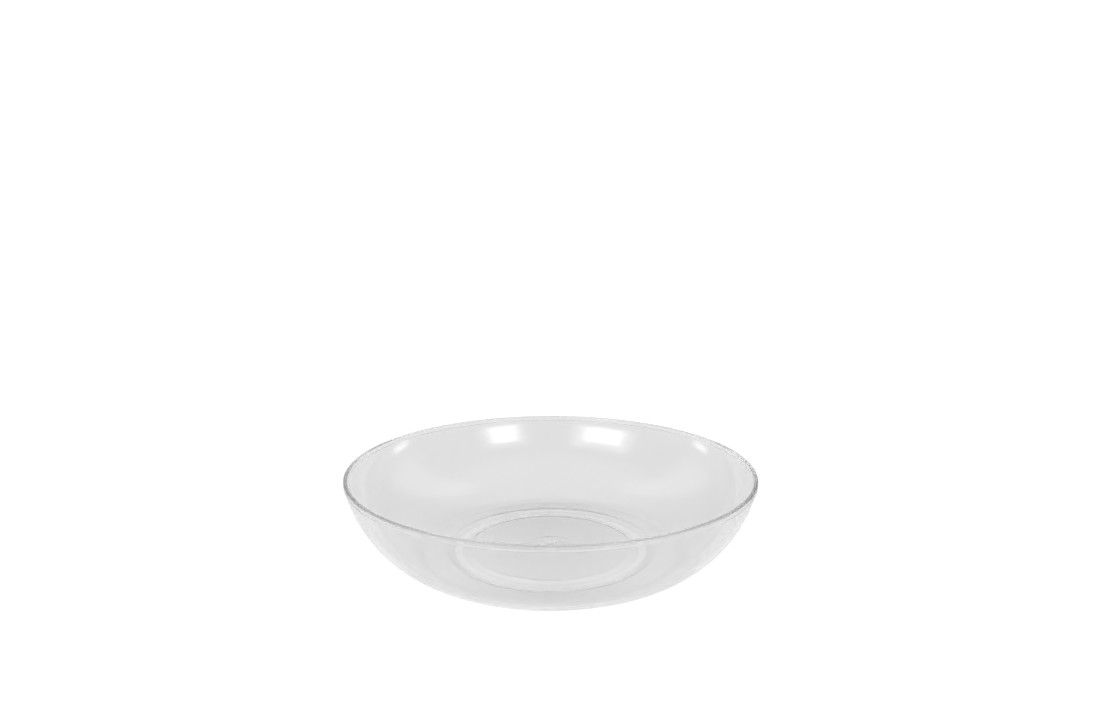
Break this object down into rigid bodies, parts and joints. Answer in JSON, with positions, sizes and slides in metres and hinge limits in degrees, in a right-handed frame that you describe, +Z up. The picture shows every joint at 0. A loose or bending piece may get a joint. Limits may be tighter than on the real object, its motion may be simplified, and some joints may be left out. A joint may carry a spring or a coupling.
{
  "type": "plant saucer",
  "caption": "Round clear plastic saucer shaped as a shallow bowl with a banded rim and a low foot ring, for a plant pot to stand in.",
  "frame": {"origin": "centre of the saucer, on the plane it stands on", "axes": "+Z up, along the axis of revolution; +X and +Y level, with no front, because the part is round"},
  "size_m": [0.23, 0.23, 0.0508],
  "materials": {
    "clear_plastic": "injection-moulded clear polystyrene, colourless, high gloss both sides"
  },
  "bodies": {
    "root": {"saucer": "clear_plastic"}
  },
  "joints": []
}
